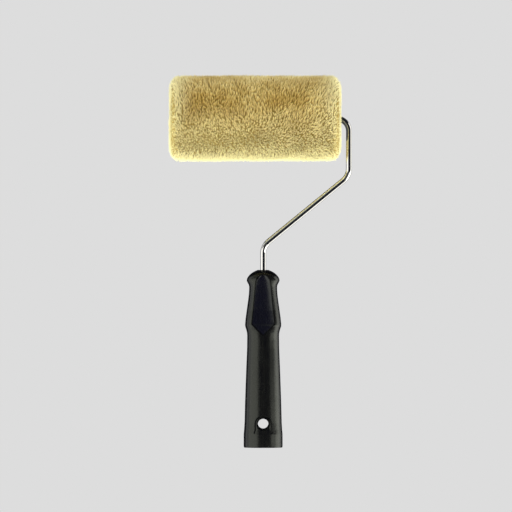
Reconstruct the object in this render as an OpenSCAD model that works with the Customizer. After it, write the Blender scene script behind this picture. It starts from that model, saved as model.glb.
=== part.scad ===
// Hand paint roller, standing on its handle's pole socket.
// X runs along the roller's axle, Z runs up the handle, and Y is the depth.
// The origin is the middle of the pole socket's mouth.

/* [Sleeve] */
// Length of the pile from end to end
pile_l = 180; // [100:5:250]
// Diameter over the pile
pile_d = 90; // [76:1:110]
// Rounding of the pile's outer edges
pile_edge_r = 8; // [3:0.5:10]
// How far the pile reaches past each end of the core
pile_overhang = 3; // [2.5:0.5:5]
// Outer diameter of the core tube
core_od = 48; // [40:0.2:60]
// Wall of the core tube
core_wall = 2; // [1.5:0.25:3]

/* [Rod] */
// Diameter of the rod
rod_d = 6; // [5:0.5:7]
// From the handle's centreline to the rod's upright
arm_x = 90; // [60:1:120]
// From the pile's end to the upright's centreline
side_gap = 8.4; // [8:0.2:20]
// From the handle's top to the corner of the lowest bend
rod_neck_l = 25; // [22:1:60]
// Height of the slanted run, corner to corner
slant_rise = 73.6; // [50:0.1:110]
// Length of the upright, corner to corner
upright_l = 60.5; // [50:0.1:90]
// Centreline radius of the bend beside the sleeve
top_bend_r = 13.5; // [8:0.5:13.5]
// Centreline radius of the two bends of the slanted run
slant_bend_r = 16; // [8:1:25]
// How deep the rod goes into the handle
rod_in_handle = 95; // [70:1:100]
// Width across the flattened end of the rod
spade_w = 8.4; // [7.5:0.1:10]
// Thickness of the flattened end of the rod
spade_t = 3.6; // [3:0.1:4.5]
// Length of the flattened end of the rod
spade_l = 12; // [6:1:20]
// Reach of the swaged stop, tip to tip
stop_span = 9.4; // [8.5:0.1:12]
// Length of the swaged stop along the axle
stop_l = 3; // [2:0.5:3]
// Thickness of the swaged stop
stop_t = 2; // [1.5:0.1:3]

/* [Handle] */
// Height of the handle
handle_h = 186.4; // [176:0.1:230]
// Width at the lower end
butt_w = 41; // [38:0.5:48]
// Width at the slimmest part of the grip
waist_w = 33.6; // [31:0.2:38]
// Width at the shoulder under the thumb panel
shoulder_w = 37.8; // [34:0.2:44]
// Width at the neck
neck_w = 29.4; // [25:0.2:33]
// Width of the domed top
dome_w = 34.5; // [31:0.1:40]
// Width of the flat at the very top
top_flat_w = 12.6; // [11:0.2:16]
// Depth of the handle as a share of its width
depth_share = 0.84; // [0.82:0.01:1]
// Bore of the pole socket
socket_d = 25; // [22:0.5:26]
// Depth of the pole socket
socket_depth = 70; // [40:1:72]
// Bore of the hanging hole
hang_d = 11; // [6:0.5:14]
// Height of the hanging hole's centre
hang_z = 25; // [18:1:45]
// Depth of the thumb panel's step
panel_step = 0.7; // [0.3:0.1:1.2]

/* [Cage] */
// Diameter of a cage wire
wire_d = 3; // [2:0.25:3.5]
// Slope of a cage wire at its ends, which sets how far it bows
wire_slope = 2.5; // [1:0.25:3]
// Bend radius of a wire's hook
hook_bend_r = 3; // [2.5:0.25:3.5]
// How far a hook reaches in from the wire's end
hook_reach = 6.3; // [5:0.1:7]
// Length of the inboard cap, flange included
inboard_cap_l = 19; // [18:0.5:24]
// Length of the outboard cap
outboard_cap_l = 19; // [18:0.5:24]
// How far the outboard cap lies inside the core's end
cap_inset = 3; // [1:0.5:8]
// Thickness of the inboard cap's flange
flange_t = 2.5; // [1.5:0.25:3]
// Depth of the recesses that hold the washers
recess_d = 11.2; // [10.6:0.1:12]
// Radius of the recesses
recess_r = 9; // [8:0.25:10]
// How much the outboard cap narrows towards its tip, on the radius
nose_taper = 3.15; // [1.5:0.05:5]
// Thickness of the plates over the wires' hooks
cover_t = 1.1; // [0.8:0.1:2]
// Thickness of the spreader disc
spreader_t = 4; // [2:0.5:8]
// Outer radius of the bushes
bush_r = 5; // [4.5:0.25:6]
// Radius of the bushes' flanges
bush_flange_r = 6.5; // [6:0.25:7]
// Thickness of the bushes' flanges
bush_flange_t = 1.2; // [1:0.1:1.5]
// Radius of the thrust washers
washer_r = 7; // [6.5:0.25:7.5]
// Thickness of the thrust washers
washer_t = 1; // [0.8:0.1:1.2]

/* [Clearances] */
// Running clearance of the bushes on the rod, on the radius
running_gap = 0.05; // [0.02:0.01:0.1]
// Gap between the cage and the core's bore, on the radius
sleeve_gap = 0.35; // [0.3:0.05:0.6]
// Gap between the sleeve's end and the flange it stops against
seat_gap = 0.2; // [0.1:0.05:0.5]
// End float between neighbouring thrust faces
end_float = 0.2; // [0.1:0.05:0.3]
// Loose clearance round wires, washers and pins
loose_gap = 0.1; // [0.05:0.05:0.2]
// How far a pressed piece bites into its hole, on the radius
press_bite = 0.02; // [0.01:0.01:0.03]

/* [Hidden] */
$fn = 48;
wire_count = 6;
pin_count = 3;
wire_nodes = [for (i = [1 : wire_count]) str("cage_wire_", i)];
fixed_nodes = [
    "handle_grip", "frame_rod", "inboard_washer", "outboard_washer", "push_nut",
    "inboard_end_cap", "inboard_cap_cover", "inboard_bush",
    "outboard_end_cap", "outboard_cap_cover", "outboard_bush",
    "centre_spreader", "sleeve_core", "pile_cover"
];

// Rod: the corners of its path, in X and Z
rod_r = rod_d / 2;
neck_z = handle_h + rod_neck_l;
arm_foot_z = neck_z + slant_rise;
axis_z = arm_foot_z + upright_l;
rod_foot_z = handle_h - rod_in_handle;

// Sleeve: its places along the axle
pile_x1 = arm_x - side_gap;
pile_x0 = pile_x1 - pile_l;
core_x1 = pile_x1 - pile_overhang;
core_x0 = pile_x0 + pile_overhang;
core_r = core_od / 2;
bore_r = core_r - core_wall;

// Caps: outer faces, recess floors and inner faces along the axle
cap_r = bore_r - sleeve_gap;
flange_r = core_r - sleeve_gap;
flange_x0 = core_x1 + seat_gap;
in_face_x = flange_x0 + flange_t;
in_floor_x = in_face_x - recess_d;
in_inner_x = in_face_x - inboard_cap_l;
out_face_x = core_x0 + cap_inset;
out_floor_x = out_face_x + recess_d;
out_inner_x = out_face_x + outboard_cap_l;
mid_x = (in_inner_x + out_inner_x) / 2;
nose_l = outboard_cap_l / 2;
nose_r = cap_r - nose_taper;
face_chamfer = 0.6;

// Wires: their hooks lie in slots, and their middles bow out to the sleeve
wire_r = wire_d / 2;
slot_w = wire_d + 2 * loose_gap;
slot_depth = hook_bend_r + wire_r + loose_gap + 0.4;
hook_in_x = in_inner_x + slot_depth - wire_r - loose_gap;
hook_out_x = out_inner_x - slot_depth + wire_r + loose_gap;
wire_half_l = (hook_in_x - hook_out_x) / 2;
bow_share = 0.8;
bow_r = bow_share * wire_half_l / tan(wire_slope);
wire_mid_r = bore_r - sleeve_gap - wire_r;
wire_apex_r = wire_mid_r + bow_r * (1 / cos(wire_slope) - 1);
wire_end_r = wire_apex_r - wire_half_l * tan(wire_slope);
hook_end_r = wire_end_r - hook_reach;
hook_run = slot_depth - wire_r - loose_gap;
cover_wire_r = wire_end_r + (hook_run + cover_t / 2) * tan(wire_slope);

// Thrust faces, working outwards from each recess floor
in_washer_x = in_floor_x + bush_flange_t + end_float;
stop_x = in_washer_x + washer_t + end_float;
out_washer_x = out_floor_x - bush_flange_t - end_float;
nut_x = out_washer_x - washer_t - end_float;
nut_t = 1.2;
nut_collar_l = 1.2;
nut_collar_r = rod_r + 1.1;
nut_r = 6.2;
nut_teeth = 6;
nut_slit_w = 0.8;
nut_end_x = nut_x - nut_t - nut_collar_l;
rod_tip_x = nut_end_x - 0.4;
rod_tip_chamfer = 0.6;

// Bending leaves a bar a hair thicker, and the straight runs end inside the bends
bend_swell = 0.03;
bend_lap = 0.3;

// Cover plates and spreader
cover_r = cap_r - 0.4;
cover_pin_r = 1.5;
cover_pin_l = 3;
pin_hole_l = cover_pin_l + 2 * loose_gap;
cover_pin_at_r = (hook_end_r + wire_end_r) / 2;
spreader_r = wire_mid_r + 0.4;
spreader_hub_r = bush_flange_r;
spreader_hub_l = 12;
spreader_bore_r = rod_r + 0.5;
spreader_hole_r = 3.6;
spreader_hole_at_r = (spreader_hub_r + wire_mid_r - wire_r) / 2;

// Handle: heights of its outline's corners, counted from the nearer end
butt_round = 1.2;
butt_edge_r = 0.7;
butt_top_z = 14;
taper_z = 26;
waist_z0 = 104;
waist_z1 = 120;
shoulder_z = 128.8;
neck_z0 = handle_h - 24;
neck_z1 = handle_h - 16.5;
dome_z = handle_h - 10.4;
taper_w = waist_w + (butt_w - waist_w) * 0.74;

// Half the outline's width at each height
outline = [
    [0, butt_w / 2 - butt_edge_r],
    [butt_round, butt_w / 2],
    [butt_top_z, butt_w / 2 - 0.1],
    [taper_z, taper_w / 2],
    [waist_z0, waist_w / 2],
    [waist_z1, waist_w / 2],
    [(waist_z1 + shoulder_z) / 2, (waist_w + shoulder_w) / 4 - 0.2],
    [shoulder_z, shoulder_w / 2],
    [(shoulder_z + neck_z0) / 2, (shoulder_w + neck_w) / 4 + 0.5],
    [neck_z0, neck_w / 2],
    [neck_z1, neck_w / 2],
    [(neck_z1 + dome_z) / 2, (neck_w + dome_w) / 4 + 0.2],
    [dome_z, dome_w / 2],
    [dome_z + 3.0, dome_w / 2 - 1.3],
    [dome_z + 5.6, dome_w / 2 - 3.2],
    [dome_z + 7.6, dome_w / 2 - 5.9],
    [dome_z + 9.3, dome_w / 2 - 8.4],
    [handle_h, top_flat_w / 2]
];
ring_sides = 44;
ring_power = 2.3;
ring_step = 6;
ring_z = [
    for (i = [0 : len(outline) - 2])
        let (z0 = outline[i][0], z1 = outline[i + 1][0], n = ceil((z1 - z0) / ring_step))
            for (k = [0 : n - 1]) z0 + (z1 - z0) * k / n,
    handle_h
];

// Depth follows the width, but the neck stays as deep as the dome
function half_width(z) = lookup(z, outline);
function half_depth(z) =
    z > shoulder_z && z < dome_z
        ? max(half_width(z) * depth_share, dome_w / 2 * depth_share)
        : half_width(z) * depth_share;

// One point of a ring: an oval, a little squarer than an ellipse, taken in by inset
function ring_point(z, a, inset) = [
    (half_width(z) - inset) * sign(cos(a)) * pow(abs(cos(a)), 2 / ring_power),
    (half_depth(z) - inset) * sign(sin(a)) * pow(abs(sin(a)), 2 / ring_power),
    z
];

// The thumb panel's shield, in X and Z
panel_tip_z = waist_z1 - 2.3;
panel_wide = 11.9;
panel_top_wide = 8.3;
panel_arch_z = dome_z - 4;
panel_arch_r = panel_top_wide;
panel_ring_z = [for (z = ring_z) if (z > waist_z0 && z < handle_h) z];

// A round bar bent along corners in one plane, drawn in XY
function unit(v) = v / norm(v);
function turn_at(p, i) =
    let (a = unit(p[i] - p[i - 1]), b = unit(p[i + 1] - p[i]))
        atan2(a[0] * b[1] - a[1] * b[0], a[0] * b[0] + a[1] * b[1]);
function tangent_l(p, radii, i) =
    i == 0 || i == len(p) - 1 ? 0 : radii[i] * tan(abs(turn_at(p, i)) / 2);

module bent_bar(p, radii, r) {
    last = len(p) - 1;
    for (i = [0 : last - 1]) {
        d = unit(p[i + 1] - p[i]);
        from = p[i] + d * (i == 0 ? 0 : tangent_l(p, radii, i) - bend_lap);
        to = p[i + 1] - d * (i + 1 == last ? 0 : tangent_l(p, radii, i + 1) - bend_lap);
        translate([from[0], from[1], 0])
            rotate([0, 0, atan2(d[1], d[0])])
                rotate([0, 90, 0])
                    cylinder(r = r, h = norm(to - from));
    }
    for (i = [1 : last - 1]) {
        d = unit(p[i] - p[i - 1]);
        turn = turn_at(p, i);
        side = turn > 0 ? [-d[1], d[0]] : [d[1], -d[0]];
        centre = p[i] - d * tangent_l(p, radii, i) + side * radii[i];
        first = atan2(-side[1], -side[0]) + min(turn, 0);
        translate([centre[0], centre[1], 0])
            rotate([0, 0, first])
                rotate_extrude(angle = abs(turn), $fn = abs(turn) < 20 ? 240 : 72)
                    translate([radii[i], 0])
                        circle(r = r + bend_swell, $fn = 48);
    }
}

// A body turned about the axle: its outline is radius against X
module on_axle() {
    translate([0, 0, axis_z])
        rotate([0, 90, 0])
            rotate_extrude()
                children();
}

// A cylinder on the axle, from x0 to x1
module axle_cylinder(x0, x1, r) {
    translate([x0, 0, axis_z])
        rotate([0, 90, 0])
            cylinder(r = r, h = x1 - x0);
}

// Copies things round the axle, the first one turned by offset_deg from straight up
module round_axle(count, offset_deg = 0) {
    for (i = [0 : count - 1])
        translate([0, 0, axis_z])
            rotate([offset_deg + 360 / count * i, 0, 0])
                children();
}

module handle_loft(heights, inset = 0) {
    n = ring_sides;
    rings = len(heights);
    points = [for (z = heights) for (k = [0 : n - 1]) ring_point(z, 360 * k / n, inset)];
    sides = [
        for (j = [0 : rings - 2]) for (k = [0 : n - 1])
            let (a = j * n + k, b = j * n + (k + 1) % n)
                each [[a, a + n, b + n], [a, b + n, b]]
    ];
    floor_face = [for (k = [0 : n - 1]) k];
    top_face = [for (k = [0 : n - 1]) rings * n - 1 - k];
    polyhedron(points, concat(sides, [floor_face], [top_face]), convexity = 6);
}

module panel_outline() {
    polygon([
        [0, panel_tip_z],
        [panel_wide, shoulder_z],
        [panel_top_wide, panel_arch_z],
        [-panel_top_wide, panel_arch_z],
        [-panel_wide, shoulder_z]
    ]);
    translate([0, panel_arch_z - 0.6 * panel_arch_r])
        circle(r = 1.25 * panel_arch_r);
}

module handle_grip() {
    color("#1b1b1d")
        difference() {
            handle_loft(ring_z);
            translate([0, 0, -1])
                cylinder(d = socket_d, h = socket_depth + 1);
            translate([0, 0, hang_z])
                rotate([90, 0, 0])
                    cylinder(d = hang_d, h = 2 * butt_w, center = true);
            translate([0, 0, rod_foot_z])
                cylinder(r = rod_r - press_bite, h = rod_in_handle + 1);
            translate([-spade_w / 2 + press_bite, -spade_t / 2 + press_bite, rod_foot_z])
                cube([spade_w - 2 * press_bite, spade_t - 2 * press_bite, spade_l - press_bite]);
            difference() {
                rotate([90, 0, 0])
                    linear_extrude(2 * butt_w, center = true)
                        panel_outline();
                handle_loft(panel_ring_z, panel_step);
            }
        }
}

module frame_rod() {
    path = [
        [rod_tip_x + rod_tip_chamfer, axis_z],
        [arm_x, axis_z],
        [arm_x, arm_foot_z],
        [0, neck_z],
        [0, rod_foot_z]
    ];
    radii = [0, top_bend_r, slant_bend_r, slant_bend_r, 0];
    color("#d9dadb") {
        rotate([90, 0, 0])
            bent_bar(path, radii, rod_r);
        translate([rod_tip_x, 0, axis_z])
            rotate([0, 90, 0])
                cylinder(r1 = rod_r - rod_tip_chamfer, r2 = rod_r, h = rod_tip_chamfer);
        translate([stop_x, -stop_t / 2, axis_z - stop_span / 2])
            cube([stop_l, stop_t, stop_span]);
        translate([-spade_w / 2, -spade_t / 2, rod_foot_z])
            cube([spade_w, spade_t, spade_l]);
    }
}

module thrust_washer(x0) {
    color("#c9cacc")
        difference() {
            axle_cylinder(x0, x0 + washer_t, washer_r);
            axle_cylinder(x0 - 1, x0 + washer_t + 1, rod_r + 2 * loose_gap);
        }
}

module inboard_washer() {
    thrust_washer(in_washer_x);
}

module outboard_washer() {
    thrust_washer(out_washer_x - washer_t);
}

module push_nut() {
    color("#b9babd")
        difference() {
            union() {
                axle_cylinder(nut_x - nut_t, nut_x, nut_r);
                axle_cylinder(nut_end_x, nut_x, nut_collar_r);
            }
            axle_cylinder(nut_end_x - 1, nut_x + 1, rod_r - press_bite);
            round_axle(nut_teeth)
                translate([nut_end_x - 1, -nut_slit_w / 2, rod_r / 2])
                    cube([nut_collar_l + 1, nut_slit_w, nut_collar_r]);
        }
}

// The slots that take the wires' hooks, opening at x0 and running along dir
module hook_slots(x0, dir) {
    slot_top = wire_end_r + wire_r + 3 * loose_gap;
    low_x = min(x0 - dir, x0 + dir * slot_depth);
    round_axle(wire_count)
        translate([low_x, -slot_w / 2, hook_end_r - 2 * loose_gap])
            cube([slot_depth + 1, slot_w, slot_top - hook_end_r + 2 * loose_gap]);
}

// The holes that take a cover's pins
module cover_pins(x0, x1, r) {
    round_axle(pin_count, 180 / wire_count)
        translate([x0, 0, cover_pin_at_r])
            rotate([0, 90, 0])
                cylinder(r = r, h = x1 - x0);
}

module inboard_end_cap() {
    color("#2c2f33")
        difference() {
            on_axle()
                polygon([
                    [bush_r - press_bite, in_inner_x],
                    [cap_r - face_chamfer, in_inner_x],
                    [cap_r, in_inner_x + face_chamfer],
                    [cap_r, flange_x0],
                    [flange_r, flange_x0],
                    [flange_r, in_face_x - face_chamfer],
                    [flange_r - face_chamfer, in_face_x],
                    [recess_r, in_face_x],
                    [recess_r, in_floor_x],
                    [bush_r - press_bite, in_floor_x]
                ]);
            hook_slots(in_inner_x, 1);
            cover_pins(in_inner_x - 1, in_inner_x + pin_hole_l, cover_pin_r - press_bite);
        }
}

module outboard_end_cap() {
    color("#2c2f33")
        difference() {
            on_axle()
                polygon([
                    [bush_r - press_bite, out_inner_x],
                    [cap_r - face_chamfer, out_inner_x],
                    [cap_r, out_inner_x - face_chamfer],
                    [cap_r, out_face_x + nose_l],
                    [nose_r, out_face_x],
                    [recess_r, out_face_x],
                    [recess_r, out_floor_x],
                    [bush_r - press_bite, out_floor_x]
                ]);
            hook_slots(out_inner_x, -1);
            cover_pins(out_inner_x - pin_hole_l, out_inner_x + 1, cover_pin_r - press_bite);
        }
}

// A plate over the hooks, from x0 to x0 + cover_t, with its pins running to pin_x
module hook_cover(x0, pin_x) {
    hole_r = wire_r + 2.5 * loose_gap;
    color("#3a3d42") {
        difference() {
            axle_cylinder(x0, x0 + cover_t, cover_r);
            axle_cylinder(x0 - 1, x0 + cover_t + 1, bush_r + 0.6);
            round_axle(wire_count)
                translate([x0 - 1, 0, cover_wire_r])
                    rotate([0, 90, 0])
                        cylinder(r = hole_r, h = cover_t + 2);
        }
        cover_pins(min(x0, pin_x), max(x0 + cover_t, pin_x), cover_pin_r);
    }
}

module inboard_cap_cover() {
    hook_cover(in_inner_x - cover_t, in_inner_x + cover_pin_l);
}

module outboard_cap_cover() {
    hook_cover(out_inner_x, out_inner_x - cover_pin_l);
}

// A flanged plain bearing: its sleeve fills the cap's bore from floor_x to inner_x
module flanged_bush(floor_x, inner_x, out) {
    flange_x = floor_x + out * bush_flange_t;
    color("#e9e6dc")
        difference() {
            union() {
                axle_cylinder(min(floor_x, inner_x), max(floor_x, inner_x), bush_r);
                axle_cylinder(min(floor_x, flange_x), max(floor_x, flange_x), bush_flange_r);
            }
            axle_cylinder(min(flange_x, inner_x) - 1, max(flange_x, inner_x) + 1, rod_r + running_gap);
        }
}

module inboard_bush() {
    flanged_bush(in_floor_x, in_inner_x, 1);
}

module outboard_bush() {
    flanged_bush(out_floor_x, out_inner_x, -1);
}

module centre_spreader() {
    color("#2c2f33")
        difference() {
            union() {
                axle_cylinder(mid_x - spreader_t / 2, mid_x + spreader_t / 2, spreader_r);
                axle_cylinder(mid_x - spreader_hub_l / 2, mid_x + spreader_hub_l / 2, spreader_hub_r);
            }
            axle_cylinder(mid_x - spreader_hub_l, mid_x + spreader_hub_l, spreader_bore_r);
            round_axle(wire_count)
                translate([mid_x - spreader_t, 0, wire_mid_r])
                    rotate([0, 90, 0])
                        cylinder(r = wire_r + loose_gap, h = 2 * spreader_t);
            round_axle(wire_count, 180 / wire_count)
                translate([mid_x - spreader_t, 0, spreader_hole_at_r])
                    rotate([0, 90, 0])
                        cylinder(r = spreader_hole_r, h = 2 * spreader_t);
        }
}

module cage_wire(i) {
    path = [
        [hook_in_x, hook_end_r],
        [hook_in_x, wire_end_r],
        [mid_x, wire_apex_r],
        [hook_out_x, wire_end_r],
        [hook_out_x, hook_end_r]
    ];
    radii = [0, hook_bend_r, bow_r, hook_bend_r, 0];
    color("#c4c6c9")
        translate([0, 0, axis_z])
            rotate([360 / wire_count * (i - 1), 0, 0])
                rotate([90, 0, 0])
                    bent_bar(path, radii, wire_r);
}

module sleeve_core() {
    color("#d8d2c0")
        difference() {
            axle_cylinder(core_x0, core_x1, core_r);
            axle_cylinder(core_x0 - 1, core_x1 + 1, bore_r);
        }
}

module pile_cover() {
    pile_r = pile_d / 2;
    color("#c9b56b")
        on_axle() {
            translate([core_r, pile_x0 + pile_edge_r])
                square([pile_r - core_r, pile_l - 2 * pile_edge_r]);
            translate([core_r, pile_x0])
                square([pile_r - core_r - pile_edge_r, pile_l]);
            for (x = [pile_x0 + pile_edge_r, pile_x1 - pile_edge_r])
                translate([pile_r - pile_edge_r, x])
                    circle(r = pile_edge_r);
        }
}

handle_grip();
frame_rod();
inboard_washer();
outboard_washer();
push_nut();
inboard_end_cap();
inboard_cap_cover();
inboard_bush();
outboard_end_cap();
outboard_cap_cover();
outboard_bush();
centre_spreader();
sleeve_core();
pile_cover();
for (i = [1 : wire_count])
    cage_wire(i);
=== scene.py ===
import math

import bmesh
import bpy
import numpy as np
from mathutils import Matrix, Vector


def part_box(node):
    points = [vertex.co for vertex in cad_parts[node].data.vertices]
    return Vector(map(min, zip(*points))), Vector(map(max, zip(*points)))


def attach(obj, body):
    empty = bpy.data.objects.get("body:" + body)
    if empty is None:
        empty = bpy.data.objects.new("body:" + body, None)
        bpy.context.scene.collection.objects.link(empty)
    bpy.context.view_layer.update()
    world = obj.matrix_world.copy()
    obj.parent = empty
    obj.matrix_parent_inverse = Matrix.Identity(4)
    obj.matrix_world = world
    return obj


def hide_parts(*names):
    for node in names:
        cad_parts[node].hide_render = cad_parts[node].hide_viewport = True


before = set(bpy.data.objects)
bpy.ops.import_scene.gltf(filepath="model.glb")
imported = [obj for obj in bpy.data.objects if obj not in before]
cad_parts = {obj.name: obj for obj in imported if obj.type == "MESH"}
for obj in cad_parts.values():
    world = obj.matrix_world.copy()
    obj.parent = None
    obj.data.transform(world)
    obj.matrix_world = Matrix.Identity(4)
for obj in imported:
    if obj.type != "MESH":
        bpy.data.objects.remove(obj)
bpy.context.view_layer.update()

MM = 0.001
SEED = 41

# Places read from the frame
handle_low, handle_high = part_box("handle_grip")
core_low, core_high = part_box("sleeve_core")
pile_low, pile_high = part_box("pile_cover")
AXLE_Z = (pile_low.z + pile_high.z) / 2
PILE_R = (pile_high.z - pile_low.z) / 2
CORE_R = (core_high.z - core_low.z) / 2
PILE_MID_X = (pile_low.x + pile_high.x) / 2
PILE_HALF_L = (pile_high.x - pile_low.x) / 2
HANDLE_H = handle_high.z


# ---------------------------------------------------------------- materials

def linear(hex_colour):
    """An sRGB hex colour as the linear RGBA that sockets take."""
    parts = [int(hex_colour[i:i + 2], 16) / 255 for i in (1, 3, 5)]
    return [c / 12.92 if c <= 0.04045 else ((c + 0.055) / 1.055) ** 2.4 for c in parts] + [1.0]


def add(tree, kind, settings=None, links=None):
    """Adds a node. Settings are input values, properties or a ramp's (place, colour) stops; a link
    joins a named or numbered input to a socket, or to a node's first output."""
    node = tree.nodes.new(kind)
    for name, value in (settings or {}).items():
        if name == "stops":
            elements = node.color_ramp.elements
            while len(elements) < len(value):
                elements.new(0.5)
            for element, (place, colour) in zip(elements, value):
                element.position, element.color = place, linear(colour)
        elif isinstance(name, int) or name in node.inputs:
            node.inputs[name].default_value = value
        else:
            setattr(node, name, value)
    for name, source in (links or {}).items():
        tree.links.new(source.outputs[0] if isinstance(source, bpy.types.Node) else source, node.inputs[name])
    return node


def new_material(name):
    """A material with an empty tree, and its Object coordinates in metres."""
    made = bpy.data.materials.new(name)
    made.use_nodes = True
    made.node_tree.nodes.clear()
    return made, made.node_tree, add(made.node_tree, "ShaderNodeTexCoord").outputs["Object"]


# Noise keeps mostly between 0.3 and 0.7
NOISE_RANGE = {"From Min": 0.3, "From Max": 0.7}


def moulded_polypropylene(name, dark, light, rough, grain=0.35 * MM, depth=0.05 * MM):
    """Moulded polypropylene, grained, with painted shade that blacks out its creases and their shine."""
    made, tree, place = new_material(name)
    drawn = add(tree, "ShaderNodeMapping", {"Scale": (1, 1, 0.06)}, {"Vector": place})
    tone = add(tree, "ShaderNodeTexNoise", {"Scale": 1 / (1.6 * MM), "Detail": 3.0}, {"Vector": drawn})
    colour = add(tree, "ShaderNodeValToRGB", {"stops": [(0.3, dark), (0.7, light)]}, {"Fac": tone})
    # Painted shade: the attribute read here marks the creases, the arch, the hole's lip and the dome's top,
    # where the colour is painted near black and the shine is taken away
    crease = add(tree, "ShaderNodeAttribute", {"attribute_name": "crease"}).outputs["Fac"]
    shine = add(tree, "ShaderNodeMapRange", {"To Min": 0.5, "To Max": 0.04}, {"Value": crease})
    body = add(tree, "ShaderNodeMixRGB", {"Color2": linear("#020203")}, {"Fac": crease, "Color1": colour})
    patch = add(tree, "ShaderNodeTexNoise", {"Scale": 1 / (6 * MM), "Detail": 4.0}, {"Vector": place})
    dull = add(tree, "ShaderNodeMapRange", {**NOISE_RANGE, "To Min": rough - 0.05, "To Max": rough + 0.06},
               {"Value": patch})
    grains = add(tree, "ShaderNodeTexNoise", {"Scale": 1 / grain, "Roughness": 0.6}, {"Vector": place})
    rise = add(tree, "ShaderNodeBump", {"Distance": depth, "Strength": 0.5}, {"Height": grains})
    flow = add(tree, "ShaderNodeTexNoise", {"Scale": 1 / (0.9 * MM)}, {"Vector": drawn})
    relief = add(tree, "ShaderNodeBump", {"Distance": depth, "Strength": 0.35},
                 {"Height": flow, "Normal": rise})
    shader = add(tree, "ShaderNodeBsdfPrincipled", {"IOR": 1.49, "Specular Tint": linear("#FBFFEC")}, {
        "Base Color": body, "Specular IOR Level": shine, "Roughness": dull, "Normal": relief})
    add(tree, "ShaderNodeOutputMaterial", None, {"Surface": shader})
    return made


def plated_steel(name, colour, rough, grain=0.5 * MM, depth=0.004 * MM):
    """Plated steel: drawn or stamped under the plate, so the mirror is faintly rippled."""
    made, tree, place = new_material(name)
    cloud = add(tree, "ShaderNodeTexNoise", {"Scale": 1 / (3 * MM), "Detail": 4.0}, {"Vector": place})
    dull = add(tree, "ShaderNodeMapRange", {**NOISE_RANGE, "To Min": rough * 0.8, "To Max": rough * 1.3},
               {"Value": cloud})
    grains = add(tree, "ShaderNodeTexNoise", {"Scale": 1 / grain, "Detail": 3.0}, {"Vector": place})
    relief = add(tree, "ShaderNodeBump", {"Distance": depth}, {"Height": grains})
    shader = add(tree, "ShaderNodeBsdfPrincipled", {"Metallic": 1.0, "Base Color": linear(colour)},
                 {"Roughness": dull, "Normal": relief})
    add(tree, "ShaderNodeOutputMaterial", None, {"Surface": shader})
    return made


def cloudy_matt(name, dark, light, rough_low, rough_high, cloud_size, grain, depth):
    """A matt finish with a cloudy tone and a fine grain: no clear reflection, only a broad shine."""
    made, tree, place = new_material(name)
    tone = add(tree, "ShaderNodeTexNoise", {"Scale": 1 / cloud_size, "Detail": 4.0}, {"Vector": place})
    colour = add(tree, "ShaderNodeValToRGB", {"stops": [(0.3, dark), (0.7, light)]}, {"Fac": tone})
    dull = add(tree, "ShaderNodeMapRange", {**NOISE_RANGE, "To Min": rough_low, "To Max": rough_high},
               {"Value": tone})
    grains = add(tree, "ShaderNodeTexNoise", {"Scale": 1 / grain, "Detail": 3.0}, {"Vector": place})
    relief = add(tree, "ShaderNodeBump", {"Distance": depth}, {"Height": grains})
    shader = add(tree, "ShaderNodeBsdfPrincipled", {"IOR": 1.49},
                 {"Base Color": colour, "Roughness": dull, "Normal": relief})
    add(tree, "ShaderNodeOutputMaterial", None, {"Surface": shader})
    return made


# The plush's colours: painted shade from root to tip, and tones from fibre to fibre and from patch to patch
PILE_DEPTH_SHADE = [(0.0, "#402A06"), (0.25, "#9C7626"), (0.5, "#E4CC84"), (0.75, "#FAF1C6"), (1.0, "#FFFDE6")]
PILE_FIBRE = [(0.0, "#BCA25C"), (0.45, "#FAF4DE"), (1.0, "#FFFFFF")]
PILE_DYE = [(0.36, "#D6BE6C"), (0.5, "#F0E6BE"), (0.62, "#FFFDEC")]

# The width of the band of painted light at each end, and how far up the pile the painted light on the lower
# side reaches past the axle
PAINTED_LIGHT_END_L = 30 * MM
PAINTED_LIGHT_SIDE_UP = 16 * MM


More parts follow.
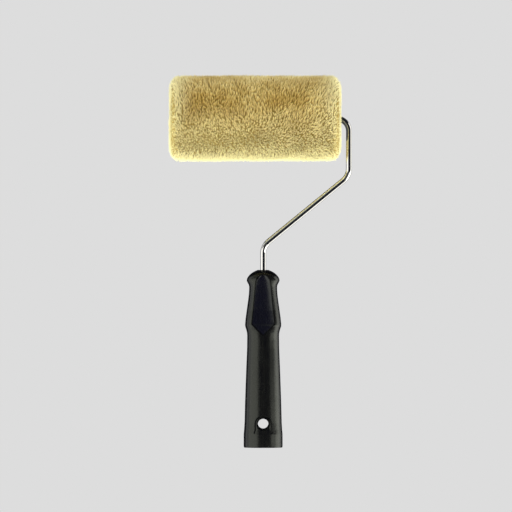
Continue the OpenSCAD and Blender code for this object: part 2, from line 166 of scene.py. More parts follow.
def plush(name):
    """Dyed woollen plush: every fibre is painted dark at its root and pale at its tip, as shade deep in
    the pile, and the fleece gets painted light at both ends and along its lower side."""
    made, tree, place = new_material(name)
    along = add(tree, "ShaderNodeUVMap", {"uv_map": "fibre"})
    parts = add(tree, "ShaderNodeSeparateXYZ", None, {"Vector": along})
    # Painted shade: darker the deeper a point lies below the tips, read from the fibre map's Y
    depth = add(tree, "ShaderNodeValToRGB", {"stops": PILE_DEPTH_SHADE}, {"Fac": parts.outputs["Y"]})
    fibre = add(tree, "ShaderNodeValToRGB", {"stops": PILE_FIBRE}, {"Fac": parts.outputs["X"]})
    patch = add(tree, "ShaderNodeTexNoise", {"Scale": 1 / (24 * MM), "Detail": 3.0, "Roughness": 0.55},
                {"Vector": place})
    dye = add(tree, "ShaderNodeValToRGB", {"stops": PILE_DYE}, {"Fac": patch})
    across = add(tree, "ShaderNodeSeparateXYZ", None, {"Vector": place})
    middle = add(tree, "ShaderNodeMath", {"operation": "SUBTRACT", 1: PILE_MID_X}, {0: across})
    reach = add(tree, "ShaderNodeMath", {"operation": "ABSOLUTE"}, {0: middle})
    # Painted light: paler towards both ends and up the lower side, laid mostly on the tips as a pale cream
    end = add(tree, "ShaderNodeMapRange", {
        "interpolation_type": "SMOOTHSTEP", "From Min": PILE_HALF_L - PAINTED_LIGHT_END_L, "From Max": PILE_HALF_L,
        "To Max": 0.9}, {"Value": reach})
    low = add(tree, "ShaderNodeMapRange", {
        "From Min": AXLE_Z - PILE_R, "From Max": AXLE_Z + PAINTED_LIGHT_SIDE_UP, "To Min": 0.95, "To Max": 0.0},
        {"Value": across.outputs["Z"]})
    painted_light_mask = add(tree, "ShaderNodeMath", {"operation": "MAXIMUM"}, {0: end, 1: low})
    shaded = add(tree, "ShaderNodeMixRGB", {"blend_type": "MULTIPLY", "Fac": 0.8},
                 {"Color1": depth, "Color2": fibre})
    patchy = add(tree, "ShaderNodeMixRGB", {"blend_type": "MULTIPLY", "Fac": 0.8},
                 {"Color1": shaded, "Color2": dye})
    shallow = add(tree, "ShaderNodeMath", {"operation": "POWER", 1: 0.4}, {0: parts.outputs["Y"]})
    tips = add(tree, "ShaderNodeMath", {"operation": "MULTIPLY"}, {0: painted_light_mask, 1: shallow})
    dye_with_painted_light_and_shade = add(tree, "ShaderNodeMixRGB", {"Color2": linear("#F8F4C6")}, {"Fac": tips, "Color1": patchy})
    shader = add(tree, "ShaderNodeBsdfPrincipled", {
        "Roughness": 0.75, "Specular IOR Level": 0.25, "Sheen Weight": 0.4, "Sheen Roughness": 0.4,
        "Sheen Tint": linear("#FFFAD2")}, {"Base Color": dye_with_painted_light_and_shade})
    pale = add(tree, "ShaderNodeMixRGB", {"Fac": 0.35, "Color2": linear("#FEFFEC")}, {"Color1": dye_with_painted_light_and_shade})
    glow = add(tree, "ShaderNodeBsdfTranslucent", None, {"Color": pale})
    both = add(tree, "ShaderNodeMixShader", {"Fac": 0.35}, {1: shader, 2: glow})
    add(tree, "ShaderNodeOutputMaterial", None, {"Surface": both})
    return made


MATERIALS = {
    # Injection moulded and spark grained: a soft black with broken highlights
    "handle": moulded_polypropylene("black polypropylene, grained", "#040406", "#080808", 0.23),
    # The same plastic from a polished part of the mould: smoother, with clearer reflections
    "panel": moulded_polypropylene("black polypropylene, smooth panel", "#04040B", "#07070F", 0.22,
                                   0.3 * MM, 0.02 * MM),
    # Moulded, with a pigment that dulls it: an even dark grey
    "cap": cloudy_matt("grey polypropylene, cage caps", "#25282C", "#303338", 0.4, 0.5,
                       4 * MM, 0.4 * MM, 0.03 * MM),
    # Bright plate on a drawn bar: almost a mirror, so the rod is dark and light bands
    "rod": plated_steel("bright nickel plate on drawn rod", "#E6E4DC", 0.04, 0.6 * MM, 0.002 * MM),
    # Zinc over hard drawn wire: a bluish grey that only glints
    "wire": plated_steel("zinc plate on spring wire", "#B9BBBC", 0.26, 0.3 * MM, 0.006 * MM),
    # Zinc over a stamped blank: greyer and blurrier than the wire
    "washer": plated_steel("zinc plate on stamped washers", "#B2B3B5", 0.32, 0.25 * MM, 0.008 * MM),
    # Phosphated after hardening: a dark steel with a dull gleam
    "nut": plated_steel("phosphated spring steel", "#7B7C80", 0.4, 0.2 * MM, 0.01 * MM),
    # Turned and undyed: ivory with a waxy shine
    "bush": cloudy_matt("natural acetal bearing", "#DDD8C8", "#F0EDE2", 0.3, 0.42,
                        4 * MM, 0.4 * MM, 0.01 * MM),
    # Wound from tape and filled: a dry tan surface
    "core": cloudy_matt("wound polypropylene core tube", "#B59E70", "#D2C194", 0.55, 0.75,
                        5 * MM, 0.5 * MM, 0.05 * MM),
    # Woven and dyed fleece: each fibre is lit from within, and gaps between the tufts are deep
    "pile": plush("golden woollen plush"),
    # The fibres' lower ends, close together: painted dark as the shade deep in the pile, and quite without
    # shine
    "ground": cloudy_matt("plush ground, painted shade deep between the fibres", "#5E4D1E", "#9A8644", 0.9, 1.0,
                          1.2 * MM, 1.2 * MM, 0.6 * MM),
}


# ---------------------------------------------------------------- small helpers

SHARP = math.radians(50)


def in_scene(name, data):
    """A new object in the scene, at the origin."""
    made = bpy.data.objects.new(name, data)
    bpy.context.scene.collection.objects.link(made)
    return made


def mesh_of(name, bm):
    """A bmesh as a mesh."""
    mesh = bpy.data.meshes.new(name)
    bm.to_mesh(mesh)
    bm.free()
    return mesh


def to_piece(name, mesh, body, material):
    """A mesh as a smooth piece of one material, riding on body."""
    mesh.polygons.foreach_set("use_smooth", [True] * len(mesh.polygons))
    mesh.materials.append(MATERIALS[material])
    made = in_scene(name, mesh)
    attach(made, body)
    return made


def dress(node, material):
    """Gives a CAD node its finish."""
    for slot in bpy.data.objects[node].material_slots:
        slot.material = MATERIALS[material]


def smoothstep(low, high, x):
    """0 up to low and 1 from high on, with an easy curve between them."""
    t = np.clip((x - low) / (high - low), 0, 1)
    return t * t * (3 - 2 * t)


# ---------------------------------------------------------------- handle

# Half widths of the handle's outline by height, in mm, butt to dome
OUTLINE = [
    (0, 20.0), (1.2, 20.45), (14, 20.4), (19, 19.95), (26, 19.5), (48, 18.95), (64, 18.4),
    (82, 17.75), (95, 17.2), (104, 16.85), (117.5, 16.7), (120.5, 16.95), (123.3, 17.6),
    (126.8, 18.75), (128.4, 19.0), (130.2, 18.9), (135.9, 18.35), (143.2, 17.35), (149.9, 16.4),
    (155, 15.7), (160, 15.1), (165, 14.7), (168.8, 14.65), (170.8, 15.1), (173.2, 16.4),
    (175.2, 17.25), (177, 17.0), (179, 16.0), (181, 14.5), (183, 12.2), (184.6, 9.7),
    (185.6, 7.6), (186.4, 5.4),
]
# The oval's depth over its width; above the shoulder its half depth is at least the dome's
DEPTH_SHARE = 0.84
SHOULDER_Z = 128.8
DOME_DEPTH = 14.5
DOME_FOOT_Z = 177
DOME_H = 9.4
DOME_SLIMMING = 0.72
CORNER_BLUR = 0.35
ROW_STEP = 0.1
# How blunt the ovals are (2 is an ellipse), and how much blunter beside the panel
BLUNT = 2.25
PANEL_BLUNT = 0.35
# The panel's step, its hollow from the foot to full depth, its bevel and its outline's half widths
PANEL_STEP = 0.3
PANEL_SCOOP = 1.3
SCOOP_FOOT_Z, SCOOP_FULL_Z = 117, 133
PANEL_BEVEL = 0.9
SHIELD = [
    (117.3, 0.0), (129.3, 12.0), (131, 12.0), (143.6, 10.6), (154, 9.6), (167, 8.5),
    (173, 7.9), (176.5, 6.9), (179.2, 5.0), (180.8, 2.8), (181.4, 0.0),
]
# Below and above these the panel's outline slants, where its distance is less than its sideways one
SHIELD_FOOT_Z, SHIELD_TOP_Z = 129.3, 176.5
SHIELD_SLANT = 0.7
# The surface further out than this is the handle's two faces
FACE_Y = 8
# The hanging hole with its soft lip, and the arch moulded round it
HANG_Z = 25.0
HANG_R = 5.5
ARCH_R = 8.0
ARCH_LINE_W = 0.45
ARCH_FLARE = 1.0
ARCH_DEPTH = 0.75
LIP_DEPTH = 0.7
# Holes: the pole socket in the butt, the bar that cuts the hanging hole, and the rod's hole
SOCKET_R = 12.5
SOCKET_DEPTH = 70.0
HOLE_BAR_L = 80
ROD_POCKET_R = 3.15
ROD_POCKET_L = 8
HANDLE_AROUND = 236
HANDLE_ROWS = 392


def outline_table():
    """The outline as fine arrays, its corners rounded off a little, as moulded ones are."""
    margin = 6
    z = np.arange(-margin, HANDLE_H / MM + margin, ROW_STEP)
    places, widths = zip(*OUTLINE)
    wide = np.interp(z, places, widths)
    deep = wide * DEPTH_SHARE
    deep = np.where(z > SHOULDER_Z, np.maximum(deep, DOME_DEPTH), deep)
    up = np.clip(z - DOME_FOOT_Z, 0, DOME_H) / DOME_H
    deep = np.where(z > DOME_FOOT_Z, DOME_DEPTH * (1 - DOME_SLIMMING * up ** 3), deep)
    reach = np.arange(-20, 21) * ROW_STEP
    weights = np.exp(-(reach / CORNER_BLUR) ** 2)
    weights /= weights.sum()
    return z, np.convolve(wide, weights, "same"), np.convolve(deep, weights, "same")


def shield_half_width(z):
    """The panel's half width at a height, and less than nothing above and below it."""
    heights, halves = zip(*SHIELD)
    return np.interp(z, heights, halves, left=-3.0, right=-3.0)


def shield_edge(x, z):
    """About how far inside the panel's outline x, z is, square to that outline."""
    edge = shield_half_width(z) - np.abs(x)
    return edge * np.where((z < SHIELD_FOOT_Z) | (z > SHIELD_TOP_Z), SHIELD_SLANT, 1.0)


def arch_line(x, z):
    """The moulded arch round the hanging hole: straight legs that flare at the feet, 1 on its line."""
    dz = z - HANG_Z
    flare = ARCH_FLARE * smoothstep(-6.0, -9.5, dz)
    off = np.where(dz > 0, np.hypot(x, dz), np.abs(x) - flare) - ARCH_R
    return np.exp(-(off / ARCH_LINE_W) ** 2) * smoothstep(-10.2, -9.2, dz)


def arch_groove(x, z):
    """The arch's depth and the softened rim of the hole."""
    return ARCH_DEPTH * arch_line(x, z) + LIP_DEPTH * smoothstep(6.9, 5.4, np.hypot(x, z - HANG_Z))


def painted_crease_shade(x, z):
    """Painted shade: 1 at the bottom of the panel's edge, the arch and the hole's lip, and nearly so on the
    dome.
    """
    panel = np.exp(-((shield_edge(x, z) - 0.1) / 0.6) ** 2)
    lip = np.exp(-((np.hypot(x, z - HANG_Z) - HANG_R - 0.5) / 0.8) ** 2)
    dome = 0.85 * smoothstep(179.5, 182.5, z)
    return np.clip(panel + 1.6 * arch_line(x, z) + lip + dome, 0, 1)


def wrapped(name, around, rows, place):
    """A closed skin: a grid rolled into a tube by place(turn, along) and filled at both ends."""
    bm = bmesh.new()
    bmesh.ops.create_grid(bm, x_segments=around, y_segments=rows, size=1.0)
    grid = np.array([v.co[:] for v in bm.verts])
    points = place((grid[:, 0] + 1) * math.pi, (grid[:, 1] + 1) / 2) * MM
    for v, point in zip(bm.verts, points):
        v.co = point
    bmesh.ops.remove_doubles(bm, verts=bm.verts, dist=2e-6)
    bmesh.ops.holes_fill(bm, edges=[e for e in bm.edges if e.is_boundary], sides=0)
    bmesh.ops.recalc_face_normals(bm, faces=bm.faces)
    return mesh_of(name, bm)


def handle_place(turn, along):
    """The handle's skin in mm: each row an oval of the outline, with the panel let into both faces."""
    z = along * HANDLE_H / MM
    heights, wide, deep = outline_table()
    a, b = np.interp(z, heights, wide), np.interp(z, heights, deep)
    beside_panel = smoothstep(112, 124, z) * (1 - smoothstep(176, 184, z))
    blunt = BLUNT + PANEL_BLUNT * beside_panel
    c, s = np.cos(turn), np.sin(turn)
    x = a * np.sign(c) * np.abs(c) ** (2 / blunt)
    y = b * np.abs(s) ** (2 / blunt)
    face = smoothstep(0.15, 0.4, np.abs(s))
    edge = shield_edge(x, z)
    half = np.clip(shield_half_width(z), 0.5, None)
    rim = b * (1 - np.clip(half / a, 0, 1) ** blunt) ** (1 / blunt)
    scoop = PANEL_SCOOP * smoothstep(SCOOP_FOOT_Z, SCOOP_FULL_Z, z) * np.clip(1 - (x / half) ** 2, 0, 1)
    inside = smoothstep(-PANEL_BEVEL / 2, PANEL_BEVEL / 2, edge) * face
    y = y * (1 - inside) + (rim - PANEL_STEP - scoop) * inside
    y = y - arch_groove(x, z) * face
    return np.stack([x, np.sign(s) * y, z], 1)


def cutter(name, radius, depth, matrix):
    """A round bar that a hole is cut with."""
    bm = bmesh.new()
    bmesh.ops.create_cone(bm, cap_ends=True, segments=96, radius1=radius, radius2=radius, depth=depth,
                          matrix=matrix)
    return in_scene(name, mesh_of(name, bm))


def cut_away(piece, cutters):
    """Cuts the bars out of piece and takes the result as its mesh."""
    for bar in cutters:
        step = piece.modifiers.new(bar.name, "BOOLEAN")
        step.operation, step.solver, step.object = "DIFFERENCE", "EXACT", bar
    depsgraph = bpy.context.evaluated_depsgraph_get()
    mesh = bpy.data.meshes.new_from_object(piece.evaluated_get(depsgraph))
    piece.modifiers.clear()
    piece.data = mesh
    for bar in cutters:
        bpy.data.objects.remove(bar)


def make_handle():
    """The handle's moulding, with its socket, hanging hole and rod hole cut out of it."""
    skin = wrapped("handle_moulding", HANDLE_AROUND, HANDLE_ROWS, handle_place)
    handle = to_piece("handle_moulding", skin, "frame", "handle")
    handle.data.materials.append(MATERIALS["panel"])
    socket = cutter("socket_bar", SOCKET_R * MM, 2 * SOCKET_DEPTH * MM, Matrix.Identity(4))
    hole = cutter("hole_bar", HANG_R * MM, HOLE_BAR_L * MM,
                  Matrix.Translation((0, 0, HANG_Z * MM)) @ Matrix.Rotation(math.pi / 2, 4, "X"))
    rod_pocket = cutter("rod_bar", ROD_POCKET_R * MM, ROD_POCKET_L * MM, Matrix.Translation((0, 0, HANDLE_H)))
    cut_away(handle, [socket, hole, rod_pocket])
    mesh = handle.data
    for face in mesh.polygons:
        x, y, z = (c / MM for c in face.center)
        if abs(y) > FACE_Y and shield_edge(x, z) > PANEL_BEVEL / 2:
            face.material_index = 1
    mesh.polygons.foreach_set("use_smooth", [True] * len(mesh.polygons))
    mesh.set_sharp_from_angle(angle=SHARP)
    places = np.array([v.co[:] for v in mesh.vertices]) / MM
    # Painted shade, on the points of both faces: how black each is painted and how much of its shine is taken
    # away
    crease = mesh.attributes.new("crease", "FLOAT", "POINT")
    on_face = np.abs(places[:, 1]) > FACE_Y
    crease.data.foreach_set("value", painted_crease_shade(places[:, 0], places[:, 2]) * on_face)
    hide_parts("handle_grip")


# ---------------------------------------------------------------- rod

# The rod in mm: where its arm meets the slanted run, where that meets the neck, and its bends' radii
ROD_R = 3.0
ARM_FOOT_Z = 285.0
NECK_Z = 211.4
BEND_R = (13.5, 16, 16)
BEND_STEPS = 24
NECK_STEPS = 120
ROD_AROUND = 48
# The tip's rounded edge, and the ears squeezed out of the rod to stop the inboard washer
TIP_ROUND = 0.6
STOP_PLAY = 0.2
STOP_L = 3.0
STOP_EDGE = 0.3
EAR_REACH, EAR_HALF_W = 4.7, 1.0
# The foot inside the handle is squashed, so that it can't turn there
FOOT_FLAT_L, FOOT_END_L = 11, 16
FOOT_SQUASH = 0.4


def rod_stations():
    """Points, directions and distances along the rod's centreline, in mm, from its tip to its foot."""
    low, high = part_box("frame_rod")
    tip, foot = low.x / MM, low.z / MM
    arm = high.x / MM - ROD_R
    axle = AXLE_Z / MM
    corners = [Vector(c) for c in ((tip, axle), (arm, axle), (arm, ARM_FOOT_Z), (0, NECK_Z), (0, foot))]
    points = [corners[0] + Vector((k * TIP_ROUND / 2, 0)) for k in range(3)]
    for i, radius in enumerate(BEND_R, 1):
        a = (corners[i] - corners[i - 1]).normalized()
        b = (corners[i + 1] - corners[i]).normalized()
        turn = a.angle_signed(b)
        start = corners[i] - a * radius * math.tan(abs(turn) / 2)
        side = Vector((a.y, -a.x)) * (1 if turn > 0 else -1)
        last = points[-1]
        count = max(2, int((start - last).length))
        points += [last.lerp(start, k / count) for k in range(1, count + 1)]
        for k in range(1, BEND_STEPS + 1):
            angle = abs(turn) * k / BEND_STEPS
            points.append(start + a * radius * math.sin(angle) + side * radius * (1 - math.cos(angle)))
    last = points[-1]
    points += [last.lerp(corners[-1], k / NECK_STEPS) for k in range(1, NECK_STEPS + 1)]
    path = np.array([p[:] for p in points])
    way = np.gradient(path, axis=0)
    way /= np.linalg.norm(way, axis=1)[:, None]
    run = np.concatenate([[0], np.cumsum(np.linalg.norm(np.diff(path, axis=0), axis=1))])
    return path, way, run


def make_rod():
    """The bent rod, with its stop ears and its squashed foot."""
    path, way, run = rod_stations()
    stop_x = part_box("inboard_washer")[1].x / MM + STOP_PLAY
    foot = path[-1, 1]

    def place(turn, along):
        at = np.rint(along * (len(path) - 1)).astype(int)
        p, d, length = path[at], way[at], run[at]
        c, s = np.cos(turn), np.sin(turn)
        radius = ROD_R - TIP_ROUND * (1 - smoothstep(0, TIP_ROUND, length))
        ears = np.minimum(EAR_REACH / np.maximum(np.abs(c), 1e-6), EAR_HALF_W / np.maximum(np.abs(s), 1e-6))
        past_start = smoothstep(stop_x - STOP_EDGE, stop_x + STOP_EDGE, p[:, 0])
        past_end = smoothstep(stop_x + STOP_L - STOP_EDGE, stop_x + STOP_L + STOP_EDGE, p[:, 0])
        on_stop = past_start * (1 - past_end) * (p[:, 1] > AXLE_Z / MM - 1)
        radius = radius + np.maximum(ears - radius, 0) * on_stop
        flat = (1 - smoothstep(foot + FOOT_FLAT_L, foot + FOOT_END_L, p[:, 1])) * (np.abs(p[:, 0]) < 1)
        in_plane, across = radius * c * (1 + FOOT_SQUASH * flat), radius * s * (1 - FOOT_SQUASH * flat)
        return np.stack([p[:, 0] - d[:, 1] * in_plane, across, p[:, 1] + d[:, 0] * in_plane], 1)

    skin = wrapped("bent_rod", ROD_AROUND, len(path) - 1, place)
    rod = to_piece("bent_rod", skin, "frame", "rod")
    rod.data.set_sharp_from_angle(angle=SHARP)
    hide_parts("frame_rod")


# ---------------------------------------------------------------- pile

# The rounded end of the pile: its length along the axle and its depth towards it
CORNER_L = 10 * MM
CORNER_D = 14 * MM
BARE_RIM = 1.2 * MM
# A tuft of the fleece, and how far the tufts differ in height one by one and in slow waves
TUFT_SPACING = 2.0 * MM
FIBRES_IN_TUFT = 11
TUFT_RISE = 0.5 * MM
TUFT_RAGGED = 0.28 * MM
SWELL = 0.3 * MM
# The nap: the tufts lie round the sleeve, and fan a little towards both ends
NAP_ROUND = -3.7 * MM
NAP_ALONG, FAN = 0.5 * MM, 1.9 * MM
STRAY_ALONG, STRAY_ROUND = 0.8 * MM, 1.0 * MM
COMB_ALONG, COMB_ROUND = 1.1 * MM, 0.9 * MM
FIBRE_W = 0.25 * MM
FIBRE_L = 9.0 * MM
# How much of its place in the tuft a fibre's tip keeps: the tips are drawn together
GATHER = (0.05, 0.36)
# Outer fibres are this much lower at a tuft's edge, and all differ by about this much
TUFT_ROUNDING = 0.5 * MM
UNEVEN = 0.35 * MM
# On the ends the fibres differ more and reach further, and their roots lean outwards by this share
END_UNEVEN, END_REACH = 1.6 * MM, 0.6 * MM
END_LEAN = 0.62
# How far a fibre bows against its lean, and how much bows differ
BOW_SHARE, BOW_STRAY = -0.3, 0.25 * MM
# How much of a fibre's tone is its tuft's
TUFT_TONE = 0.55
# Light falls to about a third this far below the tips
SHADE_DEPTH = 3.0 * MM
# The pile is this many pieces, so that none has too many triangles
SECTORS = 9


def fibre_shape():
    """One fibre: a three-sided spike, swollen part way up, from 0 to 1 along Z."""
    ring, swollen = 0.62, 2.1
    bm = bmesh.new()
    bmesh.ops.create_cone(bm, cap_ends=False, segments=3, radius1=1.0, radius2=0.0, depth=1.0,
                          matrix=Matrix.Translation((0, 0, 0.5)))
    bmesh.ops.remove_doubles(bm, verts=bm.verts, dist=1e-5)
    bmesh.ops.bisect_plane(bm, geom=bm.verts[:] + bm.edges[:] + bm.faces[:], plane_co=(0, 0, ring),
                           plane_no=(0, 0, 1))
    for v in bm.verts:
        if 0.1 < v.co.z < 0.9:
            v.co.x, v.co.y = v.co.x * swollen, v.co.y * swollen
    bm.verts.ensure_lookup_table()
    points = np.array([v.co[:] for v in bm.verts])
    faces = [[v.index for v in f.verts] for f in bm.faces]
    bm.free()
    return points, faces


def pile_surface(rng):
    """The tufts' places, evenly spaced in rings: X, radius, turn and how far each faces the end."""
    bend = np.linspace(0, math.pi / 2, 40)
    corner_x, corner_r = CORNER_L * np.cos(bend), CORNER_D * np.sin(bend)
    flat_r0, flat_r1 = CORE_R + BARE_RIM, PILE_R - CORNER_D
    side_half = PILE_HALF_L - CORNER_L
    # The right half of the outline, from its middle to the core, as X and radius
    x = np.concatenate([[0], side_half + corner_x[::-1], [PILE_HALF_L]])
    r = np.concatenate([[PILE_R], flat_r1 + corner_r[::-1], [flat_r0]])
    run = np.concatenate([[0], np.cumsum(np.hypot(np.diff(x), np.diff(r)))])
    stations = np.arange(-run[-1], run[-1], TUFT_SPACING)
    places = []
    for number, station in enumerate(stations):
        count = int(2 * math.pi * np.interp(abs(station), run, r) / TUFT_SPACING)
        turn = (np.arange(count) + rng.uniform(-0.3, 0.3, count) + 0.5 * (number % 2)) / count * 2 * math.pi
        places.append(np.stack([station + rng.uniform(-0.3, 0.3, count) * TUFT_SPACING, turn], 1))
    station, turn = np.concatenate(places).T
    way = np.gradient(x, run)
    out, hand = np.abs(station), np.sign(station)
    axial = np.interp(out, run, np.sqrt(np.clip(1 - way ** 2, 0, 1)))
    return hand * np.interp(out, run, x), np.interp(out, run, r), turn, hand * axial


def waves(x, turn, rng, count=7, size=22 * MM):
    """Slow waves over the pile, between about -1 and 1, that meet after a full turn."""
    total = np.zeros_like(x)
    for _ in range(count):
        around = rng.integers(1, 9)
        along = rng.normal() / size
        total += np.sin(around * turn + along * x * 2.2 + rng.random() * 6.28)
    return total / math.sqrt(count) / 1.2


def make_pile():
    """The pile: tufts of fibres over the whole sleeve, in one piece for each sector."""
    rng = np.random.default_rng(SEED)
    shape, faces = fibre_shape()
    x, radius, turn, axial = pile_surface(rng)
    tufts = len(x)
    comb_x = waves(x, turn, rng)
    comb_t = waves(x, turn, rng)
    swell = waves(x, turn, rng, size=30 * MM)
    tuft_height = rng.normal(TUFT_RISE, TUFT_RAGGED, tufts) + SWELL * swell
    lean_x = COMB_ALONG * comb_x + rng.normal(0, STRAY_ALONG, tufts) + NAP_ALONG + FAN * x / PILE_HALF_L
    lean_t = COMB_ROUND * comb_t + rng.normal(NAP_ROUND, STRAY_ROUND, tufts)

    # Each tuft's fibres: roots round the tuft's middle, tips drawn together
    each = np.repeat(np.arange(tufts), FIBRES_IN_TUFT)
    n = len(each)
    spread = TUFT_SPACING * 0.5
    off_a, off_b = rng.normal(0, spread, n), rng.normal(0, spread, n)
    gather = rng.uniform(*GATHER, n)
    far = np.hypot(off_a, off_b) / spread
    drop = TUFT_ROUNDING * far ** 1.5 + rng.exponential(UNEVEN, n) - TUFT_ROUNDING
    drop += (rng.exponential(END_UNEVEN, n) - END_REACH) * np.abs(axial[each])

    t = turn[each]
    out = np.stack([np.zeros(n), np.cos(t), np.sin(t)], 1)
    round_way = np.stack([np.zeros(n), -np.sin(t), np.cos(t)], 1)
    along = np.tile([1.0, 0.0, 0.0], (n, 1))
    ax = axial[each][:, None]
    normal = out * np.sqrt(np.maximum(1 - ax ** 2, 0)) + along * ax
    side = np.cross(normal, round_way)
    stand = out * np.sqrt(np.maximum(1 - (END_LEAN * ax) ** 2, 0)) + along * END_LEAN * ax
    stand /= np.linalg.norm(stand, axis=1)[:, None]

    surface = out * radius[each][:, None] + along * x[each][:, None]
    height = tuft_height[each] - drop
    tip = surface + normal * height[:, None]
    tip += round_way * (off_a * gather + lean_t[each])[:, None]
    tip += side * (off_b * gather + lean_x[each])[:, None]
    length = FIBRE_L * rng.uniform(0.8, 1.1, n)
    root = surface - stand * length[:, None] + round_way * off_a[:, None] + side * off_b[:, None]
    sag = round_way * rng.normal(BOW_SHARE * lean_t[each], BOW_STRAY, n)[:, None]
    sag += side * rng.normal(BOW_SHARE * lean_x[each], BOW_STRAY, n)[:, None]
    width = FIBRE_W * rng.uniform(0.75, 1.3, n)
    spin = rng.random(n) * 2 * math.pi
    a_way = round_way * np.cos(spin)[:, None] + side * np.sin(spin)[:, None]
    b_way = -round_way * np.sin(spin)[:, None] + side * np.cos(spin)[:, None]

    centre = np.array([PILE_MID_X, 0.0, AXLE_Z])
    shade = TUFT_TONE * rng.random(tufts)[each] + (1 - TUFT_TONE) * rng.random(n)
    sector = (t / (2 * math.pi) * SECTORS).astype(int) % SECTORS
    for part in range(SECTORS):
        mine = np.flatnonzero(sector == part)
        build_fibres("pile_fibres_%d" % (part + 1), shape, faces, centre, root[mine], tip[mine], sag[mine],
                     width[mine], a_way[mine], b_way[mine], shade[mine], drop[mine], length[mine])


def build_fibres(name, shape, faces, centre, root, tip, sag, width, a_way, b_way, shade, drop, length):
    """One piece of many fibres, each the same small shape set from its root to its tip."""
    n, k = len(root), len(shape)
    w = shape[:, 2][None, :, None]
    points = root[:, None, :] * (1 - w) + tip[:, None, :] * w + sag[:, None, :] * (4 * w * (1 - w))
    points = points + a_way[:, None, :] * (shape[:, 0][None, :] * width[:, None])[:, :, None]
    points = points + b_way[:, None, :] * (shape[:, 1][None, :] * width[:, None])[:, :, None]
    points = (points + centre).reshape(-1, 3)
    corners = np.concatenate([np.array(f) for f in faces])
    sizes = np.array([len(f) for f in faces])
    starts = np.concatenate([[0], np.cumsum(sizes)[:-1]])
    step = np.arange(n)[:, None]
    loops = (corners[None, :] + step * k).ravel()
    mesh = bpy.data.meshes.new(name)
    mesh.vertices.add(n * k)
    mesh.vertices.foreach_set("co", points.ravel())
    mesh.loops.add(len(loops))
    mesh.loops.foreach_set("vertex_index", loops)
    mesh.polygons.add(n * len(faces))
    mesh.polygons.foreach_set("loop_start", (starts[None, :] + step * len(corners)).ravel())
    mesh.update(calc_edges=True)
    layer = mesh.uv_layers.new(name="fibre")
    uv = np.empty((n, len(corners), 2))
    uv[:, :, 0] = shade[:, None]
    # The fibre map's Y is painted shade: how deep each corner lies below its tuft's tips
    depth = np.maximum(drop, 0)[:, None] + (1 - shape[corners, 2])[None, :] * length[:, None]
    uv[:, :, 1] = np.exp(-depth / SHADE_DEPTH)
    layer.data.foreach_set("uv", uv.ravel())
    made = to_piece(name, mesh, "sleeve", "pile")
    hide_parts("pile_cover")


def make_ground():
    """The body of the plush below its tips: a turned profile with rounded ends."""
    sunk, end_sunk = 3.6 * MM, 2.2 * MM
    corner = 5 * MM
    inner = CORE_R + 0.1 * MM
    outer = PILE_R - sunk
    half = PILE_HALF_L - end_sunk
    bm = bmesh.new()
    outline = [(-half, inner), (-half, outer - corner)]
    for i in range(1, 7):
        a = math.radians(15 * i)
        outline.append((-half + corner * (1 - math.cos(a)), outer - corner + corner * math.sin(a)))
    steps = 90
    flat = half - corner
    outline += [(-flat + 2 * flat * i / steps, outer) for i in range(1, steps + 1)]
    for i in range(1, 7):
        a = math.radians(90 - 15 * i)
        outline.append((half - corner * (1 - math.cos(a)), outer - corner + corner * math.sin(a)))
    outline.append((half, inner))
    verts = [bm.verts.new((PILE_MID_X + px, 0, AXLE_Z + r)) for px, r in outline]
    edges = [bm.edges.new(pair) for pair in zip(verts, verts[1:])]
    bmesh.ops.spin(bm, geom=verts + edges, cent=(0, 0, AXLE_Z), axis=(1, 0, 0), angle=2 * math.pi,
                   steps=180, use_merge=True, use_duplicate=False)
    bmesh.ops.remove_doubles(bm, verts=bm.verts, dist=1e-6)
    bmesh.ops.bridge_loops(bm, edges=[e for e in bm.edges if e.is_boundary])
    bmesh.ops.recalc_face_normals(bm, faces=bm.faces)
    ground = to_piece("pile_ground", mesh_of("pile_ground", bm), "sleeve", "ground")
    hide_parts("pile_cover")


# ---------------------------------------------------------------- stage, light and camera

def make_stage():
    """A pale floor that takes no shadow, in an even pale room."""
    scene = bpy.context.scene
    scene.view_settings.view_transform = "Standard"
    pale = linear("#DDDDDD")
    world = bpy.data.worlds.new("pale room")
    scene.world = world
    world.use_nodes = True
    tree = world.node_tree
    tree.nodes.clear()
    ray = add(tree, "ShaderNodeLightPath").outputs
    seen = add(tree, "ShaderNodeBackground", {"Color": pale, "Strength": 1.0})
    felt = add(tree, "ShaderNodeBackground", {"Color": linear("#FFFEFA"), "Strength": 1.15})
    shine = add(tree, "ShaderNodeBackground", {"Color": linear("#B9C0E0"), "Strength": 0.03})
    mixed = add(tree, "ShaderNodeMixShader", None, {"Fac": ray["Is Glossy Ray"], 1: felt, 2: shine})
    both = add(tree, "ShaderNodeMixShader", None, {"Fac": ray["Is Camera Ray"], 1: mixed, 2: seen})
    add(tree, "ShaderNodeOutputWorld", None, {"Surface": both})

    bm = bmesh.new()
    bmesh.ops.create_circle(bm, cap_ends=True, segments=128, radius=4.0,
                            matrix=Matrix.Translation((0, 0, -0.5 * MM)))
    floor = in_scene("floor", mesh_of("floor", bm))
    # Paper, evenly lit: one pale tone to the horizon
    paper = bpy.data.materials.new("pale paper")
    paper.use_nodes = True
    paper.node_tree.nodes.clear()
    glow = add(paper.node_tree, "ShaderNodeEmission", {"Color": pale, "Strength": 1.0})
    add(paper.node_tree, "ShaderNodeOutputMaterial", None, {"Surface": glow})
    floor.data.materials.append(paper)
    floor.visible_glossy = floor.visible_diffuse = floor.visible_shadow = False


def softbox(name, place, target, size, radiance, colour="#FFFFFF", glossy=True):
    """A flat soft light whose face is this bright, seen only by what it lights."""
    light = bpy.data.lights.new(name, "AREA")
    light.shape, light.size, light.size_y = "RECTANGLE", size[0], size[1]
    light.energy, light.color = radiance * math.pi * size[0] * size[1], linear(colour)[:3]
    made = in_scene(name, light)
    made.location = place
    made.rotation_euler = (Vector(target) - Vector(place)).to_track_quat("-Z", "Y").to_euler()
    made.visible_glossy = glossy
    made.visible_camera = False


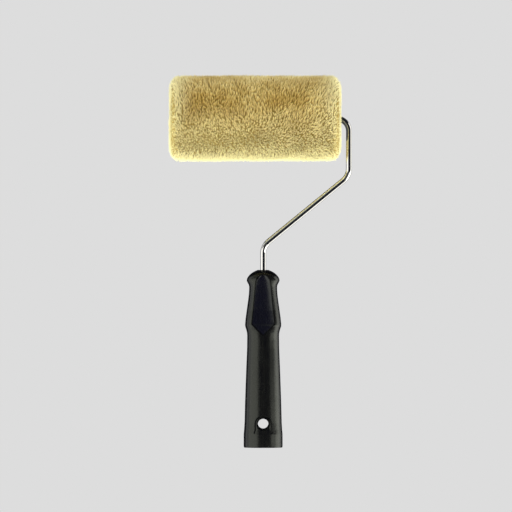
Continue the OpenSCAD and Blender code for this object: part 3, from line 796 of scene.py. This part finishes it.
# Name, bearing in degrees (0 is the camera, left is negative), the height of its middle, size,
# radiance and colour. All stand this far from the middle.
SOFTBOX_AWAY = 1.3
SOFTBOXES = [
    ("left front, low", -50, -0.29, (1.52, 0.92), 1.5, "#FFFFFF"),
    ("left front, middle", -53, 0.36, (1.34, 0.38), 1.35, "#FFFFFF"),
    ("left front, high", -47, 0.95, (1.62, 0.8), 0.22, "#EEF2E4"),
    ("left side", -98, 0.2, (0.95, 2.0), 0.9, "#F8F8FF"),
    ("right edge", 52, -0.17, (0.86, 0.54), 1.6, "#FFFFFF"),
    ("right front, low", 86, -0.32, (0.9, 0.96), 2.8, "#FFFFFF"),
    ("right front, high", 92, 0.66, (0.6, 1.0), 1.9, "#FFFFFF"),
    ("right side", 116, 0.2, (0.56, 2.0), 1.05, "#FFFFFF"),
]


def make_lights():
    """The softboxes that the plate and the plastic mirror, and the fills that only the plush shows."""
    for name, bearing, height, size, radiance, colour in SOFTBOXES:
        b = math.radians(bearing)
        place = Vector((SOFTBOX_AWAY * math.sin(b), -SOFTBOX_AWAY * math.cos(b), height))
        softbox(name, place, (0, 0, height), size, radiance, colour)
    softbox("from below", (0, 0.35, -0.77), (0, 0.35, 0.2), (2.6, 1.9), 1.3)
    softbox("overhead", (-0.53, -0.31, 1.35), (0, 0, 0.2), (1.7, 1.3), 0.45, "#EEF2E4")
    # These light the plush and leave no shape in the plate or the plastic
    sleeve = (0, 0, 0.34)
    softbox("front fill", (0.1, -1.8, 0.0), sleeve, (1.4, 1.0), 2.8, "#FFFEF8", glossy=False)
    softbox("low fill", (0, -1.1, -1.1), sleeve, (1.8, 0.9), 5.6, "#FAFFF0", glossy=False)
    softbox("top fill", (0, -0.5, 1.9), sleeve, (1.4, 0.9), 1.5, "#FFFEF8", glossy=False)
    softbox("back fill", (0, 1.8, 0.3), sleeve, (1.6, 1.2), 1.2, "#FFFEF8", glossy=False)
    for side in (-1, 1):
        softbox("end fill", (1.3 * side, -0.7, 0.3), sleeve, (0.7, 0.9), 7.0, "#FAFFF4", glossy=False)


def make_camera():
    """Level and straight on, from far enough for the slight perspective of a long lens."""
    data = bpy.data.cameras.new("camera")
    # At 6 m these frame a square of 538 mm
    data.sensor_width, data.lens = 36.0, 401.8
    data.clip_start, data.clip_end = 0.1, 50.0
    camera = in_scene("camera", data)
    camera.location = (-7.5 * MM, -6.0, 201 * MM)
    camera.rotation_euler = (math.pi / 2, 0, 0)
    bpy.context.scene.camera = camera


# The CAD nodes that keep their own shape, and their finishes
CAD_FINISHES = {
    "washer": ["inboard_washer", "outboard_washer"],
    "nut": ["push_nut"],
    "cap": ["inboard_end_cap", "outboard_end_cap", "inboard_cap_cover", "outboard_cap_cover",
            "centre_spreader"],
    "bush": ["inboard_bush", "outboard_bush"],
    "wire": ["cage_wire_%d" % number for number in range(1, 7)],
    "core": ["sleeve_core"],
}

make_stage()
make_lights()
make_camera()
make_handle()
make_rod()
make_ground()
make_pile()
for finish, nodes in CAD_FINISHES.items():
    for node in nodes:
        dress(node, finish)
